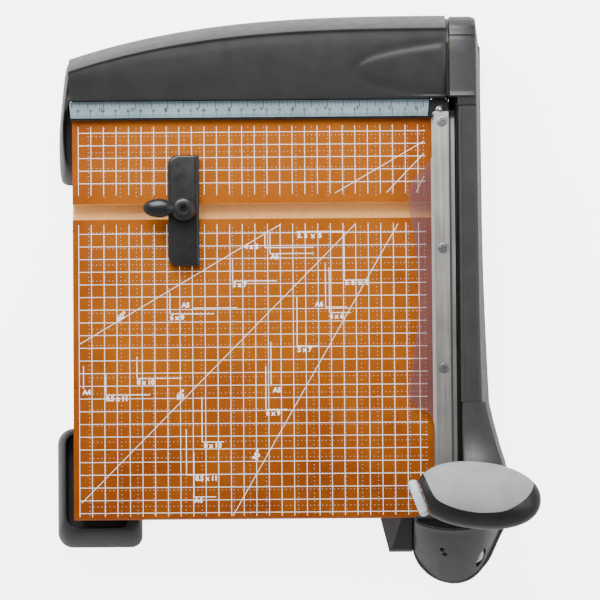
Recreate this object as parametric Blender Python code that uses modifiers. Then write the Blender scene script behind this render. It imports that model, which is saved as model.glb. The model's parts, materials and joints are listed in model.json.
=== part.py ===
"""Guillotine paper cutter, 300 mm class, with a wooden board, in metres.

The frame has +X to the right, +Y to the rear and +Z up. The origin is on the ground under the
middle of the cutter's box. The blade arm lies closed along the board's right edge.
"""
import math

import bmesh
import bpy
from mathutils import Euler, Matrix, Vector

MM = 0.001
GAP = 0.3                     # clearance kept between neighbouring solids, mm

# Driving dimensions, mm.
BOARD_LEFT, CUT_X = -176.0, 128.8
BOARD_FRONT, BOARD_REAR = -175.0, 165.0
BOARD_TOP, BOARD_THICK = 44.0, 15.0
REBATE_X, REBATE_DEPTH = 109.5, 3.3     # where the bed knife lets into the board
GROOVE_Y, GROOVE_WIDTH, GROOVE_DEPTH = 69.5, 12.6, 6.0
TEE_WIDTH, TEE_DEPTH = 20.0, 10.5
FENCE_Y, FENCE_DEPTH = 142.4, 14.9
KNIFE_REAR, KNIFE_FLANGE, KNIFE_THICK = 147.0, 24.0, 3.0
HEAD_FRONT, HEAD_LEFT, HEAD_RIGHT = 157.6, -178.5, 121.5
HEAD_REAR, HEAD_SWEEP = 229.0, 33.0     # rear face at the right end, and its drop at the left
HEAD_CREASE = 17.8                      # horizontal depth of the rear slope
PIVOT_Y, PIVOT_Z = 198.5, 40.0
ARM_TOP, ARM_FRONT = 66.0, -86.0
BLADE_X, BLADE_THICK = 129.1, 2.8
GUARD_BOTTOM, GUARD_THICK = 47.3, 2.0
BAR_LEFT, BAR_RIGHT, BAR_THICK = 111.7, 123.3, 3.0
BAR_X = 118.2                           # line of the guard screws
GUARD_SCREWS_Y = (139.0, 37.7, -58.0, -152.0)
FEET_BOTTOM = 3.0
POD_X, POD_BACK = 125.0, -175.4
# The pod's base and the foot of its shell, from the back left corner round the front to the back right.
BASE_LINE = ((92.3, -175.4), (92.3, -188.0), (92.3, -199.0), (96.0, -208.7), (100.8, -214.9), (106.5, -219.8),
             (114.6, -223.9), (124.9, -225.8), (134.5, -224.2), (142.2, -219.9), (148.2, -213.6),
             (153.8, -206.2), (158.0, -197.6), (162.4, -188.1), (166.0, -181.0), (167.6, -175.4))
SHELL_LINE = ((92.6, -175.4), (92.6, -187.0), (93.0, -197.5), (96.8, -206.6), (101.6, -213.0), (107.2, -218.4),
              (114.8, -222.8), (124.5, -224.5), (132.8, -223.1), (139.4, -219.6), (145.0, -214.8),
              (149.6, -208.6), (153.7, -200.6), (157.8, -191.8), (161.1, -183.8), (163.2, -175.4))
POD_BOTTOM, POD_TOP = 8.3, 60.0
# The slit in the pod's right slope: its middle, its run up the slope, and the way it faces.
SLOT_CENTRE, SLOT_RUN, SLOT_OUT = (146.4, -206.6, 22.9), (0.257, 0.622, 0.740), (0.688, -0.655, 0.312)
WHEEL_CENTRE, WHEEL_RADIUS, WHEEL_WIDTH = (138.7, -199.3, 19.4), 11.5, 4.4
WHEEL_AXIS = (0.679, 0.429, -0.596)     # across the slit that the wheel stands in
GRIP_CENTRE, GRIP_HALF = (142.9, -162.4, 91.5), (49.7, 27.4, 16.0)
GRIP_TURN = (math.radians(-14.0), 0.0, math.radians(-6.5))      # its rear edge is the lower one
# The pad's outline from its left end round the front to its right end, and on past the rear edge.
PAD_OUTLINE = ((-47.5, 20.0), (-45.5, 13.2), (-39.4, -0.2), (-31.9, -10.7), (-18.5, -16.2), (-3.6, -18.3),
               (10.1, -17.4), (23.5, -13.9), (34.6, -5.5), (41.0, 4.0), (43.2, 16.1), (44.0, 32.0),
               (-48.0, 32.0))
LEVER_PLACE = (95.8, -163.8, 85.0)
LEVER_TURN = (math.radians(-14.0), 0.0, math.radians(20.5))
GUIDE_X, GUIDE_Y, GUIDE_WIDTH, GUIDE_LENGTH = -87.6, 69.6, 24.6, 88.4
KNOB_BOTTOM = 52.1

for old in list(bpy.data.objects):
    bpy.data.objects.remove(old, do_unlink=True)

parts = bpy.data.collections.new("paper_cutter")
cutters = bpy.data.collections.new("cutters")
for group in (parts, cutters):
    bpy.context.scene.collection.children.link(group)


def material(name, colour, roughness, metallic=0.0, transmission=0.0):
    """One Principled material."""
    made = bpy.data.materials.new(name)
    made.use_nodes = True
    shader = made.node_tree.nodes["Principled BSDF"]
    shader.inputs["Base Color"].default_value = (*colour, 1.0)
    shader.inputs["Roughness"].default_value = roughness
    shader.inputs["Metallic"].default_value = metallic
    shader.inputs["Transmission Weight"].default_value = transmission
    return made


WOOD = material("board_laminate", (0.55, 0.17, 0.02), 0.45)
STEEL = material("ground_steel", (0.45, 0.44, 0.43), 0.3, 1.0)
ZINC = material("zinc_plate", (0.6, 0.6, 0.58), 0.35, 1.0)
GREY = material("housing_plastic", (0.055, 0.055, 0.058), 0.5)
BLACK = material("black_plastic", (0.01, 0.01, 0.011), 0.35)
RULER = material("ruler_print", (0.28, 0.42, 0.43), 0.45)
SMOKE = material("smoked_acrylic", (0.25, 0.12, 0.1), 0.08, 0.0, 0.8)
PAD = material("grip_pad", (0.4, 0.4, 0.41), 0.6)
PALE = material("lever_plastic", (0.6, 0.68, 0.74), 0.4)
RUBBER = material("foot_rubber", (0.015, 0.015, 0.015), 0.85)
CELL = material("battery_jacket", (0.5, 0.35, 0.08), 0.35, 0.3)
BRASS = material("brass_barrel", (0.6, 0.42, 0.15), 0.35, 1.0)


def add(name, mesh, finish, group=parts):
    """Link a mesh as a named object."""
    piece = bpy.data.objects.new(name, mesh)
    mesh.materials.append(finish)
    group.objects.link(piece)
    return piece


def finish_mesh(bm, name, finish, group=parts, smooth=False):
    """Turn a bmesh given in mm into a named object in metres."""
    bmesh.ops.scale(bm, vec=(MM, MM, MM), verts=bm.verts)
    bmesh.ops.recalc_face_normals(bm, faces=bm.faces)
    mesh = bpy.data.meshes.new(name)
    bm.to_mesh(mesh)
    bm.free()
    if smooth:
        mesh.shade_smooth()
    return add(name, mesh, finish, group)


def box(name, low, high, finish, group=parts):
    """A box between two corners."""
    bm = bmesh.new()
    middle = (Vector(low) + Vector(high)) / 2
    size = Vector(high) - Vector(low)
    bmesh.ops.create_cube(bm, size=1.0, matrix=Matrix.Translation(middle) @ Matrix.Diagonal((*size, 1.0)))
    return finish_mesh(bm, name, finish, group)


AIM = {"X": Matrix.Rotation(math.pi / 2, 4, "Y"), "Y": Matrix.Rotation(-math.pi / 2, 4, "X"),
       "Z": Matrix.Identity(4)}


def cylinder(name, start, radius, length, finish, axis="Z", tip=None, sides=24, group=parts):
    """A cylinder or cone from the middle of its first end, along an axis."""
    bm = bmesh.new()
    place = Matrix.Translation(start) @ AIM[axis] @ Matrix.Translation((0, 0, length / 2))
    bmesh.ops.create_cone(bm, cap_ends=True, segments=sides, radius1=radius,
                          radius2=radius if tip is None else tip, depth=length, matrix=place)
    return finish_mesh(bm, name, finish, group)


def turned(name, profile, place, finish, axis="Z", sides=24, group=parts):
    """A solid of revolution. The profile is (radius, height), listed down its outer side."""
    mesh = bpy.data.meshes.new(name)
    points = [(radius * MM, 0.0, height * MM) for radius, height in profile]
    mesh.from_pydata(points, [(i, i + 1) for i in range(len(points) - 1)], [])
    piece = add(name, mesh, finish, group)
    piece.matrix_world = Matrix.Translation(Vector(place) * MM) @ AIM[axis]
    screw = piece.modifiers.new("turn", "SCREW")
    screw.steps = screw.render_steps = sides
    screw.use_merge_vertices = True
    screw.merge_threshold = 0.00005
    return piece


def ring_profile(inner, outer, low, high):
    """The closed profile of a plain ring, down its outer side first."""
    return [(inner, high), (outer, high), (outer, low), (inner, low), (inner, high)]


def loft(name, sections, finish, group=parts):
    """A solid through closed sections that have the same number of points."""
    bm = bmesh.new()
    rows = [[bm.verts.new(point) for point in section] for section in sections]
    count = len(rows[0])
    for first, second in zip(rows, rows[1:]):
        for i in range(count):
            j = (i + 1) % count
            bm.faces.new((first[i], first[j], second[j], second[i]))
    bm.faces.new(rows[0])
    bm.faces.new(list(reversed(rows[-1])))
    bmesh.ops.triangulate(bm, faces=[f for f in bm.faces if len(f.verts) > 4])
    return finish_mesh(bm, name, finish, group)


def prism(name, outline, low, high, finish, group=parts, axis="Z"):
    """A flat outline pushed along an axis: (x, y) along Z, (y, z) along X or (x, z) along Y."""
    place = {"Z": lambda a, b, h: (a, b, h), "X": lambda a, b, h: (h, a, b),
             "Y": lambda a, b, h: (a, h, b)}[axis]
    return loft(name, [[place(a, b, h) for a, b in outline] for h in (low, high)], finish, group)


def arc(centre, radius, start, end, steps=8):
    """Points on an arc, angles in degrees."""
    return [(centre[0] + radius * math.cos(math.radians(start + (end - start) * i / steps)),
             centre[1] + radius * math.sin(math.radians(start + (end - start) * i / steps)))
            for i in range(steps + 1)]


def rounded(left, right, front, rear, radii, steps=5):
    """A rectangle with its own radius at the front left, front right, rear right and rear left."""
    fl, fr, rr, rl = radii
    return (arc((left + fl, front + fl), fl, 180, 270, steps)
            + arc((right - fr, front + fr), fr, 270, 360, steps)
            + arc((right - rr, rear - rr), rr, 0, 90, steps)
            + arc((left + rl, rear - rl), rl, 90, 180, steps))


def catmull(points, steps):
    """A smooth curve through flat points."""
    line = []
    for i in range(len(points) - 1):
        before, start = points[max(i - 1, 0)], points[i]
        end, after = points[i + 1], points[min(i + 2, len(points) - 1)]
        for step in range(steps):
            t = step / steps
            line.append(tuple(0.5 * (2 * b + (c - a) * t + (2 * a - 5 * b + 4 * c - d) * t * t
                                     + (3 * b - a - 3 * c + d) * t ** 3)
                              for a, b, c, d in zip(before, start, end, after)))
    return line + [points[-1]]


def boolean(piece, tool, operation="DIFFERENCE"):
    """Cut or join with a tool, which goes to the cutters."""
    tool.hide_render = True
    tool.display_type = "WIRE"
    change = piece.modifiers.new(operation.lower(), "BOOLEAN")
    change.operation = operation
    change.object = tool
    return piece


def drill(piece, spots, radius, low, high, sides=16, tip=None):
    """Vertical holes at the given places."""
    for index, (x, y) in enumerate(spots):
        boolean(piece, cylinder(f"{piece.name}_hole_{index}", (x, y, low), radius, high - low, STEEL,
                                tip=tip, sides=sides, group=cutters))


def set_origin(piece, point):
    """Put the origin of a piece on a point, keeping its mesh in place."""
    shift = Vector(point) * MM
    piece.data.transform(Matrix.Translation(piece.location - shift))
    piece.location = shift


def board_and_knife():
    """The wooden board, its T-slot, and the steel angle that the blade shears against."""
    bottom = BOARD_TOP - BOARD_THICK
    inner = CUT_X - KNIFE_THICK - GAP
    board = box("work_board", (BOARD_LEFT, BOARD_FRONT, bottom), (inner, BOARD_REAR, BOARD_TOP), WOOD)
    boolean(board, box("rebate", (REBATE_X, BOARD_FRONT - 1, BOARD_TOP - REBATE_DEPTH),
                       (inner + 1, BOARD_REAR + 1, BOARD_TOP + 1), WOOD, cutters))
    boolean(board, box("hinge_notch", (REBATE_X, KNIFE_REAR + GAP, bottom - 1),
                       (inner + 1, BOARD_REAR + 1, BOARD_TOP + 1), WOOD, cutters))
    half, wide = GROOVE_WIDTH / 2, TEE_WIDTH / 2
    floor, neck = BOARD_TOP - TEE_DEPTH, BOARD_TOP - GROOVE_DEPTH
    tee = [(GROOVE_Y - wide, floor), (GROOVE_Y + wide, floor), (GROOVE_Y + wide, neck),
           (GROOVE_Y + half, neck), (GROOVE_Y + half, BOARD_TOP + 1), (GROOVE_Y - half, BOARD_TOP + 1),
           (GROOVE_Y - half, neck), (GROOVE_Y - wide, neck)]
    boolean(board, prism("tee_slot", tee, BOARD_LEFT - 1, REBATE_X + 20, WOOD, cutters, "X"))
    screws = [(BAR_X, y) for y in GUARD_SCREWS_Y]
    drill(board, screws, 2.4, BOARD_TOP - 12, BOARD_TOP + 1)
    left, top = REBATE_X + GAP, BOARD_TOP
    angle = [(left, top), (left, top - KNIFE_THICK), (CUT_X - KNIFE_THICK, top - KNIFE_THICK),
             (CUT_X - KNIFE_THICK, top - KNIFE_FLANGE), (CUT_X, top - KNIFE_FLANGE), (CUT_X, top)]
    knife = prism("bed_knife", angle, BOARD_FRONT, KNIFE_REAR, STEEL, axis="Y")
    drill(knife, screws, 2.4, BOARD_TOP - 5, BOARD_TOP + 1)
    box("right_base_rail", (98.0, BOARD_FRONT + 3, 10.0), (inner, KNIFE_REAR - 1, bottom - GAP), GREY)
    block = box("hinge_block", (110.9, KNIFE_REAR + 2 * GAP, 14.0), (121.5, BOARD_REAR + 1, BOARD_TOP - GAP),
                BLACK)
    for index, (low, high) in enumerate((((111.5, 148.0, 40.0), (121.0, 157.0, 46.0)),
                                         ((108.7, 144.0, BOARD_TOP + GAP), (123.4, HEAD_FRONT - GAP, 47.4)),
                                         ((115.0, 144.0, BOARD_TOP + GAP), (128.5, 148.7, 47.3)),
                                         ((115.0, KNIFE_REAR + 2 * GAP, 15.0), (128.5, 158.0, 24.0)))):
        boolean(block, box(f"hinge_block_{index}", low, high, BLACK, cutters), "UNION")
    box("rear_crossbar", (-170.0, BOARD_REAR + GAP, 14.0), (110.5, BOARD_REAR + 12, 43.0), GREY)


def fence_and_ruler():
    """The square fence behind the sheet, and the printed ruler on it."""
    rear = FENCE_Y + FENCE_DEPTH
    box("fence_bar", (BOARD_LEFT, FENCE_Y, BOARD_TOP + GAP), (108.4, rear, 48.2), BLACK)
    front, rear = FENCE_Y + 1.6, rear - 0.2
    strip = [(BOARD_LEFT - 0.9, front), (106.9, front), (108.0, rear), (BOARD_LEFT - 2.2, rear)]
    prism("ruler_strip", strip, 48.5, 49.7, RULER)


def head_rear(x):
    """Where the head's rear face is, which sweeps forward to the left as a cubic."""
    return HEAD_REAR - HEAD_SWEEP * ((HEAD_RIGHT - x) / (HEAD_RIGHT - HEAD_LEFT)) ** 3


def head_profile(x, inset=0.0):
    """The head's closed profile at x: front foot, top, rear slope, and the step round the board."""
    rear = head_rear(x) - inset
    front, step = HEAD_FRONT + inset, BOARD_REAR + 1.5
    crease = rear - HEAD_CREASE
    foot = 12.0 - 3 * inset
    edge = BOARD_TOP + GAP - inset
    return [(front, edge), (front, 55.0 - inset), (front + 3, 57.2 - inset),
            ((front + crease) / 2, 65.0 - inset), (crease, 69.0 - inset), (crease + 4, 67.5 - inset),
            (rear - 1, 26.0), (rear, foot), (step - inset, foot), (step - inset, edge)]


def head_solid(name, left, right, inset, group):
    """The head's outer or inner form as one loft along X."""
    stations = 12
    sections = []
    for index in range(stations + 1):
        x = left + (right - left) * index / stations
        sections.append([(x, y, z) for y, z in head_profile(x, inset)])
    return loft(name, sections, GREY, group)


def head_cover():
    """The long rear housing: a shell open below, with an end wall at each side."""
    wall = 2.5
    cover = head_solid("rear_head_cover", HEAD_LEFT, HEAD_RIGHT, 0.0, parts)
    boolean(cover, head_solid("head_hollow", HEAD_LEFT + wall, HEAD_RIGHT - wall, wall, cutters))
    boolean(cover, cylinder("bush_hole", (HEAD_RIGHT - 6, PIVOT_Y, PIVOT_Z), 8.6, 12, GREY, "X",
                            group=cutters))
    for cut in cover.modifiers:
        cut.solver = "MANIFOLD"         # EXACT loses this shell


def corner_foot(name, outer, inset, height, radii):
    """A moulded foot: a skirt that leans in, round a recess, with a pedestal under the board."""
    left, right, front, rear = outer
    side, face = inset
    sections = []
    for step, z in ((0.0, FEET_BOTTOM), (0.0, FEET_BOTTOM + 4), (0.55, height * 0.6), (1.0, height)):
        sections.append([(x, y, z) for x, y in rounded(left + side * step, right - 2 * step,
                                                        front + face * step, rear - 2 * step, radii)])
    foot = loft(name, sections, GREY)
    hollow = rounded(left + side + 1.8, right - 4, front + face + 1.8, rear - 4,
                     [max(radius - 3, 2) for radius in radii])
    boolean(foot, prism(name + "_recess", hollow, FEET_BOTTOM + 3, 60, GREY, cutters))
    return foot


def pedestal(foot, low, high):
    """A block inside a foot that carries the board."""
    return boolean(foot, box(foot.name + "_pedestal", low, high, GREY, cutters), "UNION")


def feet():
    """Three moulded feet, the rear right block, and the rubber pads under them."""
    under = BOARD_TOP - BOARD_THICK - GAP
    front = corner_foot("front_left_foot", (-189.8, -122.5, -194.8, -99.5), (6.2, 12.6), 22.0, (11, 8, 8, 11))
    pedestal(front, (-172, -170, 5), (-132, -108, under))
    rear = corner_foot("rear_left_foot", (-187.6, -150.0, 95.0, 197.0), (3.6, 11.0), 27.0, (7, 7, 7, 26))
    pedestal(rear, (-172, 102, 5), (-156, 154, under))
    boolean(rear, box("head_corner", (HEAD_LEFT - GAP, 156, 0), (-140, 210, 60), GREY, cutters))
    for cut in rear.modifiers:
        cut.solver = "MANIFOLD"         # EXACT loses this shell
    box("rear_right_foot", (84.0, 169.0, FEET_BOTTOM), (118.5, 224.0, 11.7), GREY)
    foot_print = [(67.0, -150.0), (67.0, -174.0), (73.6, -200.2), (92.0, -200.2), (92.0, -174.0),
                  (92.0, -150.0)]
    ridge = [(82.7, -150.0), (82.7, -176.7), (74.6, -199.2), (92.0, -199.2), (92.0, -176.7), (92.0, -150.0)]
    high = (under, under, 9.0, 9.0, under, under)
    loft("front_right_bracket", [[(x, y, FEET_BOTTOM) for x, y in foot_print],
                                 [(x, y, z) for (x, y), z in zip(ridge, high)]], GREY)
    spots = {"rubber_foot_front_left": (-152, -142), "rubber_foot_rear_left": (-164, 131),
             "rubber_foot_front_right": (124, -200), "rubber_foot_rear_right": (101, 200)}
    for name, (x, y) in spots.items():
        cylinder(name, (x, y, 0), 9.0, FEET_BOTTOM - GAP, RUBBER, tip=10.0)


def pod_outline(points, sideways=1.0, forward=1.0):
    """A pod outline from its back left corner round the front, drawn in toward the back's middle."""
    return [(POD_X + (x - POD_X) * sideways, POD_BACK + (y - POD_BACK) * forward)
            for x, y in catmull(points, 2)]


def leaning(piece):
    """Stand a piece built about the origin on the wheel's centre and axis."""
    turn = Vector(WHEEL_AXIS).to_track_quat("Z", "Y").to_matrix().to_4x4()
    piece.matrix_world = Matrix.Translation(Vector(WHEEL_CENTRE) * MM) @ turn
    return piece


def pod():
    """The sloping housing under the grip: base, shell, laser, its wheel, and the batteries."""
    base = [(x, y, FEET_BOTTOM) for x, y in pod_outline(BASE_LINE)]
    lip = [(x, y, POD_BOTTOM - GAP) for x, y in pod_outline(BASE_LINE)]
    loft("pod_base", [base, lip], GREY)
    bm = bmesh.new()
    rows = []
    steps = 5
    for i in range(steps + 1):
        t = i / steps
        outline = pod_outline(SHELL_LINE, 1 - 0.03 * t, 1 - 0.737 * t + 0.05 * math.sin(math.pi * t))
        rows.append([bm.verts.new((x, y, POD_BOTTOM + (POD_TOP - POD_BOTTOM) * t)) for x, y in outline])
    count = len(rows[0])
    for first, second in zip(rows, rows[1:]):
        for i in range(count):
            j = (i + 1) % count
            bm.faces.new((first[i], first[j], second[j], second[i]))
    bm.faces.new(rows[-1])
    shell = finish_mesh(bm, "pod_shell", GREY)
    wall = shell.modifiers.new("wall", "SOLIDIFY")
    wall.thickness = 2.2 * MM
    wall.offset = -1.0
    boolean(shell, box("pod_floor", (80, -240, 0), (180, -170, POD_BOTTOM), GREY, cutters))
    half = [(11.4 - 2.28 * i, 4.6 * (1 - (1 - 0.2 * i) ** 2)) for i in range(10)]
    leaf = prism("wheel_slot", half + [(-x, -y) for x, y in half], -6.0, 4.0, GREY, cutters)
    run, out = Vector(SLOT_RUN), Vector(SLOT_OUT)
    turn = Matrix((run, out.cross(run), out)).transposed().to_4x4()
    leaf.matrix_world = Matrix.Translation(Vector(SLOT_CENTRE) * MM) @ turn
    boolean(shell, leaf)
    boolean(shell, cylinder("socket_hole", (116.3, -226.0, 39.5), 2.4, 30, GREY, "Y", group=cutters))
    leaning(cylinder("laser_wheel", (0, 0, -WHEEL_WIDTH / 2), WHEEL_RADIUS, WHEEL_WIDTH, PALE, sides=40))
    leaning(cylinder("laser_wheel_pin", (0, 0, -14.0), 2.0, 14.0 - GAP - WHEEL_WIDTH / 2, ZINC))
    cylinder("laser_module", (127.0, -194.5, 42.0), 4.0, 15.0, BRASS, "Y")
    for index, x in enumerate((107.5, 118.5)):
        cylinder(f"battery_{index + 1}", (x, POD_BACK - 11, POD_BOTTOM + GAP), 5.2, 28.0, CELL)
    box("stop_post", (133.0, POD_BACK + GAP, FEET_BOTTOM), (150.0, -160.0, 39.7), GREY)
    box("stop_bumper", (134.0, -174.0, 40.0), (149.0, -161.0, 45.4), RUBBER)


def finger_guard_outline():
    """The guard's plan: a wavy free edge on the left, straight under the bar on the right."""
    free = [(112.0, 141.5), (111.4, 118.0), (108.0, 107.4), (101.0, 99.3), (94.6, 92.8), (91.4, 82.0),
            (91.4, 70.0), (95.2, 46.0), (98.6, 10.0), (97.8, -16.0), (94.0, -45.0), (90.0, -74.0),
            (90.8, -82.6), (95.0, -88.0), (102.6, -90.9), (108.0, -97.4), (110.6, -108.0), (111.7, -136.0),
            (112.0, -166.0)]
    return catmull(free, 3) + [(BAR_RIGHT - 0.4, -166.0), (BAR_RIGHT - 0.4, 141.5)]


def guard():
    """The clear finger guard, its clamping bar, spacers and countersunk screws."""
    spots = [(BAR_X, y) for y in GUARD_SCREWS_Y]
    top = GUARD_BOTTOM + GUARD_THICK
    sheet = prism("finger_guard", finger_guard_outline(), GUARD_BOTTOM, top, SMOKE)
    drill(sheet, spots, 2.4, GUARD_BOTTOM - 1, top + 1)
    low, high = top + GAP, top + GAP + BAR_THICK
    bar = box("guard_bar", (BAR_LEFT, -167.0, low), (BAR_RIGHT, 147.0, high), STEEL)
    drill(bar, spots, 2.4, low - 1, high + 1)
    drill(bar, spots, 2.4, high - 2.2, high + 0.01, tip=4.6, sides=20)
    for index, (x, y) in enumerate(spots):
        turned(f"guard_spacer_{index + 1}", ring_profile(2.4, 4.6, BOARD_TOP + GAP, GUARD_BOTTOM - GAP),
               (x, y, 0), ZINC, sides=20)
        head = [(0.0, high), (4.2, high), (2.0, high - 2.3), (2.0, BOARD_TOP - 9), (0.0, BOARD_TOP - 10)]
        turned(f"guard_screw_{index + 1}", head, (x, y, 0), ZINC, sides=20)


def hinge():
    """The bracket in the head, the bush and bolt that the arm turns on, and the pressure spring."""
    bracket = [(168.0 + GAP + 10, 14.0), (212.0, 14.0), (212.0, 50.0), (200.0, 60.0), (178.3, 60.0)]
    plate = prism("pivot_bracket", bracket, 111.0, 117.0, STEEL, axis="X")
    boolean(plate, cylinder("bracket_hole", (110, PIVOT_Y, PIVOT_Z), 5.4, 10, STEEL, "X", group=cutters))
    cheek = arc((PIVOT_Y, PIVOT_Z), 24.5, -95, 85, 18) + [(158.0, 64.0), (158.0, 38.0), (171.0, 25.5)]
    side = prism("pivot_plate", cheek, 121.8, 123.6, BLACK, axis="X")
    boolean(side, cylinder("plate_hole", (120, PIVOT_Y, PIVOT_Z), 8.4, 6, BLACK, "X", group=cutters))
    centre = (0.0, PIVOT_Y, PIVOT_Z)
    turned("pivot_bush", ring_profile(5.4, 8.0, 117.3, 128.8), centre, BRASS, "X")
    bolt = [(0.0, 146.0), (8.0, 146.0), (8.0, 142.1), (5.0, 142.1), (5.0, 103.0), (0.0, 103.0)]
    turned("pivot_bolt", bolt, centre, ZINC, "X")
    nut = cylinder("pivot_nut", (104.5, PIVOT_Y, PIVOT_Z), 9.2, 6.1, ZINC, "X", sides=6)
    boolean(nut, cylinder("nut_hole", (100, PIVOT_Y, PIVOT_Z), 5.4, 20, ZINC, "X", group=cutters))
    turned("pivot_washer", ring_profile(5.4, 10.0, 140.2, 141.8), centre, ZINC, "X")
    coil = bpy.data.curves.new("pivot_spring", "CURVE")
    coil.dimensions = "3D"
    coil.bevel_depth, coil.bevel_resolution = 0.8 * MM, 2
    coil.use_fill_caps = True
    turns, per_turn, low, high = 2.5, 14, 133.2, 139.0
    line = coil.splines.new("POLY")
    count = int(turns * per_turn)
    line.points.add(count)
    for i in range(count + 1):
        angle = 2 * math.pi * i / per_turn
        line.points[i].co = ((low + (high - low) * i / count) * MM, (PIVOT_Y + 7.5 * math.cos(angle)) * MM,
                             (PIVOT_Z + 7.5 * math.sin(angle)) * MM, 1.0)
    coil.materials.append(STEEL)
    parts.objects.link(bpy.data.objects.new("pivot_spring", coil))


def arm_cover():
    """The long cover: a top skin, a short left rib and a leaning right wall, wider to the front."""
    sections = []
    for y, top_right, low_right in ((149.4, 145.4, 149.4), (ARM_FRONT, 147.4, 154.0)):
        outer = [(129.4, 59.5), (129.4, ARM_TOP - 1), (130.4, ARM_TOP), (top_right - 1.2, ARM_TOP),
                 (top_right, ARM_TOP - 1.2), (low_right, 33.0)]
        inner = [(low_right - 2.4, 33.0), (top_right - 2.4, ARM_TOP - 2.5), (131.8, ARM_TOP - 2.5),
                 (131.8, 59.5)]
        sections.append([(x, y, z) for x, z in outer + inner])
    loft("arm_cover", sections, GREY)


def arm():
    """The blade with its spine and screws, and the covers over the arm and over the hinge."""
    hub = arc((PIVOT_Y, PIVOT_Z), 15.0, -120, 80, 12)
    edge = [(145.0 - 290.0 * i / 12, 40.0 - 5.0 * math.sin(math.pi * i / 24)) for i in range(13)]
    outline = hub + [(150.0, 58.0), (-158.0, 58.0), (-163.0, 54.0), (-163.0, 40.0)] + edge[::-1]
    blade = prism("blade", outline, BLADE_X, BLADE_X + BLADE_THICK, STEEL, axis="X")
    boolean(blade, cylinder("blade_hole", (BLADE_X - 1, PIVOT_Y, PIVOT_Z), 5.4, 6, STEEL, "X", group=cutters))
    set_origin(blade, (BLADE_X, PIVOT_Y, PIVOT_Z))
    spine_left, spine_right = BLADE_X + BLADE_THICK + GAP, 138.6
    spine = box("arm_spine", (spine_left, -128.0, 48.0), (spine_right, 166.0, 63.0), ZINC)
    for index, y in enumerate((130.0, 40.0, -50.0)):
        boolean(spine, cylinder(f"spine_hole_{index}", (spine_left - 1, y, 54), 2.4, 12, ZINC, "X",
                                group=cutters))
        profile = [(0.0, spine_right + 2.6), (4.0, spine_right + 2.6), (4.0, spine_right + GAP),
                   (2.1, spine_right + GAP), (2.1, spine_left + GAP), (0.0, spine_left + GAP)]
        turned(f"blade_screw_{index + 1}", profile, (0, y, 54), ZINC, "X", sides=16)
    arm_cover()
    radius = 27.0
    shape = arc((PIVOT_Y, PIVOT_Z), radius, -100, 80, 20) + [(150.0, ARM_TOP), (150.0, 30.0), (170.0, 22.0)]
    head = prism("arm_head_cover", shape, 123.9, 149.2, GREY, axis="X")
    inner = arc((PIVOT_Y, PIVOT_Z), radius - 2.4, -100, 80, 20)
    inner += [(149.0, ARM_TOP - 2.4), (149.0, 32.6), (171.0, 24.8)]
    boolean(head, prism("head_hollow", inner, 120.0, 146.6, GREY, cutters, "X"))


def handle():
    """The stem, the oval grip with its soft pad, and the release lever on its left side."""
    flare = []
    for y, left, right, low, high in ((ARM_FRONT - GAP, 132.4, 153.8, 46.0, 66.0),
                                      (-112.0, 132.0, 160.0, 46.0, 68.0), (-140.0, 132.0, 167.0, 46.0, 74.0),
                                      (-174.0, 132.0, 160.0, 46.0, 76.0)):
        flare.append([(left, y, low), (right, y, low), (right - 2, y, high), (left + 2, y, high)])
    stem = loft("handle_stem", flare, GREY)
    boolean(stem, box("spine_pocket", (131.0, -129.0, 45.0), (139.2, -80.0, 63.5), GREY, cutters))
    place = Matrix.Translation(Vector(GRIP_CENTRE) * MM) @ Euler(GRIP_TURN).to_matrix().to_4x4()
    for name, finish in (("grip_body", BLACK), ("grip_pad", PAD)):
        bm = bmesh.new()
        bmesh.ops.create_uvsphere(bm, u_segments=40, v_segments=20, radius=1.0,
                                  matrix=Matrix.Diagonal((*GRIP_HALF, 1.0)))
        finish_mesh(bm, name, finish).matrix_world = place
    for name, operation, inset in (("grip_body", "DIFFERENCE", 0.0), ("grip_pad", "INTERSECT", GAP)):
        outline = [(x * (1 - inset / 45), y + inset) for x, y in PAD_OUTLINE]
        seat = prism(name + "_seat", outline, 1.5 + inset, 20.0, PAD, cutters)
        seat.matrix_world = place
        boolean(bpy.data.objects[name], seat, operation)
    boolean(bpy.data.objects["grip_body"], box("stem_pocket", (131.0, -176.0, 60.0), (167.0, -130.0, 76.6),
                                               BLACK, cutters))
    seat = Matrix.Translation(Vector(LEVER_PLACE) * MM) @ Euler(LEVER_TURN).to_matrix().to_4x4()
    lever = prism("release_lever", rounded(-2.8, 2.8, -14.8, 14.8, (2, 2, 2, 2), 3), -5.0, 5.0, PALE)
    lever.matrix_world = seat
    pocket = prism("lever_pocket", rounded(-5.0, 7.0, -16.8, 16.8, (2, 2, 2, 2), 3), -7.0, 7.0, PALE, cutters)
    pocket.matrix_world = seat
    boolean(bpy.data.objects["grip_body"], pocket)


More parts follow.
